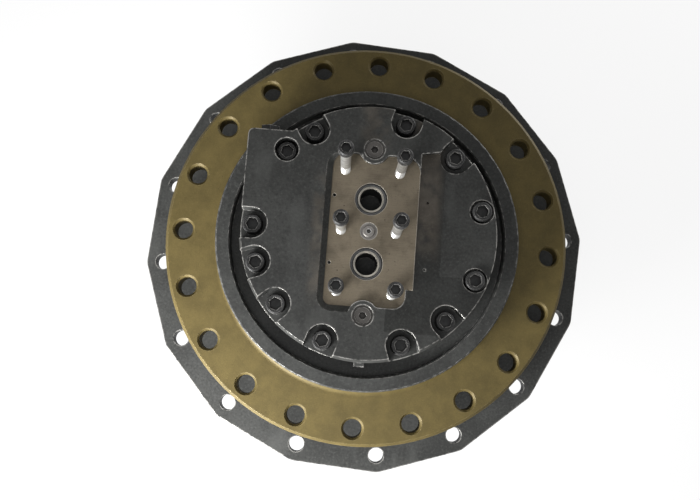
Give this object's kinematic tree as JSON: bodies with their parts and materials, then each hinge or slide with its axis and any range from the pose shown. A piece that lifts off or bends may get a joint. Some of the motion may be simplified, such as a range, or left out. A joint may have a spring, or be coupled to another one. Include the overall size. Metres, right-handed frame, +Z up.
{
  "type": "excavator final drive",
  "caption": "Hydraulic travel motor in a two stage planetary hub, with a frame flange on its fixed side and a polygon sprocket flange on its turning side.",
  "frame": {"origin": "centre of the flat bottom of the gear cover, which the drive stands on", "axes": "+Z up along the drive's axis, from the gear cover to the motor; +X is through a frame bolt hole; the square valve lug is at -X +Y"},
  "size_m": [0.6052, 0.6052, 0.557],
  "materials": {
    "gold_finish": "mottled olive gold anti-rust finish",
    "dark_paint": "satin charcoal paint",
    "zinc_steel": "bright zinc plated steel",
    "black_screw": "black oxide",
    "plug_steel": "machined",
    "gear_steel": "case hardened, ground",
    "bearing_steel": "polished",
    "cast_steel": "machined casting",
    "bronze": "machined bronze",
    "friction": "sintered facing",
    "rubber": "matt"
  },
  "bodies": {
    "frame_side": {"spindle": "gold_finish", "motor_head": "dark_paint", "head_screws": "black_screw", "port_screws": "zinc_steel", "port_seals": "rubber", "pad_plugs": "plug_steel", "centre_plug": "plug_steel", "lug_plug": "black_screw", "carrier_2": "cast_steel", "carrier_bolts": "black_screw", "stage_2_pins": "bearing_steel", "stage_2_washers": "bronze", "fixed_seal_ring": "bearing_steel", "fixed_seal_rubber": "rubber", "swash_cradle": "cast_steel", "valve_plate": "bronze", "brake_plates": "gear_steel", "lower_shaft_bearing": "bearing_steel", "upper_shaft_bearing": "bearing_steel", "lower_bearing_inner_race": "bearing_steel", "upper_bearing_inner_race": "bearing_steel", "brake_spring": "gear_steel", "head_ring": "rubber"},
    "hub_side": {"hub": "dark_paint", "ring_gear": "dark_paint", "gear_cover": "dark_paint", "cover_bolts": "black_screw", "cover_plugs": "plug_steel", "thrust_button": "bronze", "joint_rings": "rubber", "hub_seal_ring": "bearing_steel", "hub_seal_rubber": "rubber", "lower_bearing_outer_race": "bearing_steel", "upper_bearing_outer_race": "bearing_steel"},
    "lower_cage": {"lower_bearing_rollers": "bearing_steel", "lower_bearing_cage": "gear_steel"},
    "upper_cage": {"upper_bearing_rollers": "bearing_steel", "upper_bearing_cage": "gear_steel"},
    "first_carrier": {"carrier_1": "cast_steel", "sun_2": "gear_steel", "stage_1_pins": "bearing_steel", "stage_1_washers": "bronze"},
    "motor_rotor": {"motor_shaft": "gear_steel", "sun_1": "gear_steel", "cylinder_barrel": "cast_steel", "pistons": "bearing_steel", "brake_discs": "friction"},
    "brake_piston": {"brake_piston": "cast_steel"},
    "swash_plate": {"swash_plate": "cast_steel"},
    "valve_spool": {"valve_spool": "bearing_steel"},
    "planet_1_a": {"planet_1_a": "gear_steel"},
    "planet_2_a": {"planet_2_a": "gear_steel"},
    "planet_1_b": {"planet_1_b": "gear_steel"},
    "planet_2_b": {"planet_2_b": "gear_steel"},
    "planet_1_c": {"planet_1_c": "gear_steel"},
    "planet_2_c": {"planet_2_c": "gear_steel"}
  },
  "joints": [
    {"name": "hub_spin", "type": "hinge", "parent": "frame_side", "child": "hub_side", "pos_m": [0, 0, 0.25], "axis": [0, 0, 1], "continuous": true},
    {"name": "lower_cage_spin", "type": "hinge", "parent": "frame_side", "child": "lower_cage", "pos_m": [0, 0, 0.218], "axis": [0, 0, 1], "continuous": true},
    {"name": "upper_cage_spin", "type": "hinge", "parent": "frame_side", "child": "upper_cage", "pos_m": [0, 0, 0.266], "axis": [0, 0, 1], "continuous": true},
    {"name": "carrier_1_spin", "type": "hinge", "parent": "frame_side", "child": "first_carrier", "pos_m": [0, 0, 0.095], "axis": [0, 0, 1], "continuous": true},
    {"name": "motor_shaft_spin", "type": "hinge", "parent": "frame_side", "child": "motor_rotor", "pos_m": [0, 0, 0.32], "axis": [0, 0, 1], "continuous": true, "deforming": ["pistons"]},
    {"name": "brake_release", "type": "slide", "parent": "frame_side", "child": "brake_piston", "axis": [0, 0, 1], "range_m": [0, 0.002], "stiffness_N_per_m": 20000, "springref_m": -0.005, "deforming": ["brake_spring"]},
    {"name": "swash_tilt", "type": "hinge", "parent": "frame_side", "child": "swash_plate", "pos_m": [0, 0, 0.252], "axis": [1, 0, 0], "range_deg": [-6, 0], "stiffness_Nm_per_rad": 20, "springref_deg": 5.73, "deforming": ["pistons"]},
    {"name": "spool_shift", "type": "slide", "parent": "frame_side", "child": "valve_spool", "axis": [0, 1, 0], "range_m": [-0.007, 0.005], "stiffness_N_per_m": 2000},
    {"name": "planet_1_a_spin", "type": "hinge", "parent": "first_carrier", "child": "planet_1_a", "pos_m": [0.108, 0, 0.067], "axis": [0, 0, 1], "continuous": true},
    {"name": "planet_2_a_spin", "type": "hinge", "parent": "frame_side", "child": "planet_2_a", "pos_m": [0.117, 0, 0.14], "axis": [0, 0, 1], "continuous": true},
    {"name": "planet_1_b_spin", "type": "hinge", "parent": "first_carrier", "child": "planet_1_b", "pos_m": [-0.054, 0.09353, 0.067], "axis": [0, 0, 1], "continuous": true},
    {"name": "planet_2_b_spin", "type": "hinge", "parent": "frame_side", "child": "planet_2_b", "pos_m": [-0.0585, 0.10132, 0.14], "axis": [0, 0, 1], "continuous": true},
    {"name": "planet_1_c_spin", "type": "hinge", "parent": "first_carrier", "child": "planet_1_c", "pos_m": [-0.054, -0.09353, 0.067], "axis": [0, 0, 1], "continuous": true},
    {"name": "planet_2_c_spin", "type": "hinge", "parent": "frame_side", "child": "planet_2_c", "pos_m": [-0.0585, -0.10132, 0.14], "axis": [0, 0, 1], "continuous": true}
  ],
  "couplings": [
    {"joint": "lower_cage_spin", "follows": "hub_spin", "ratio": 0.52289},
    {"joint": "upper_cage_spin", "follows": "hub_spin", "ratio": 0.52289},
    {"joint": "carrier_1_spin", "follows": "hub_spin", "ratio": -3.3333},
    {"joint": "motor_shaft_spin", "follows": "hub_spin", "ratio": -25},
    {"joint": "planet_1_a_spin", "follows": "hub_spin", "ratio": 10.833},
    {"joint": "planet_2_a_spin", "follows": "hub_spin", "ratio": 2.8571},
    {"joint": "planet_1_b_spin", "follows": "hub_spin", "ratio": 10.833},
    {"joint": "planet_2_b_spin", "follows": "hub_spin", "ratio": 2.8571},
    {"joint": "planet_1_c_spin", "follows": "hub_spin", "ratio": 10.833},
    {"joint": "planet_2_c_spin", "follows": "hub_spin", "ratio": 2.8571}
  ]
}
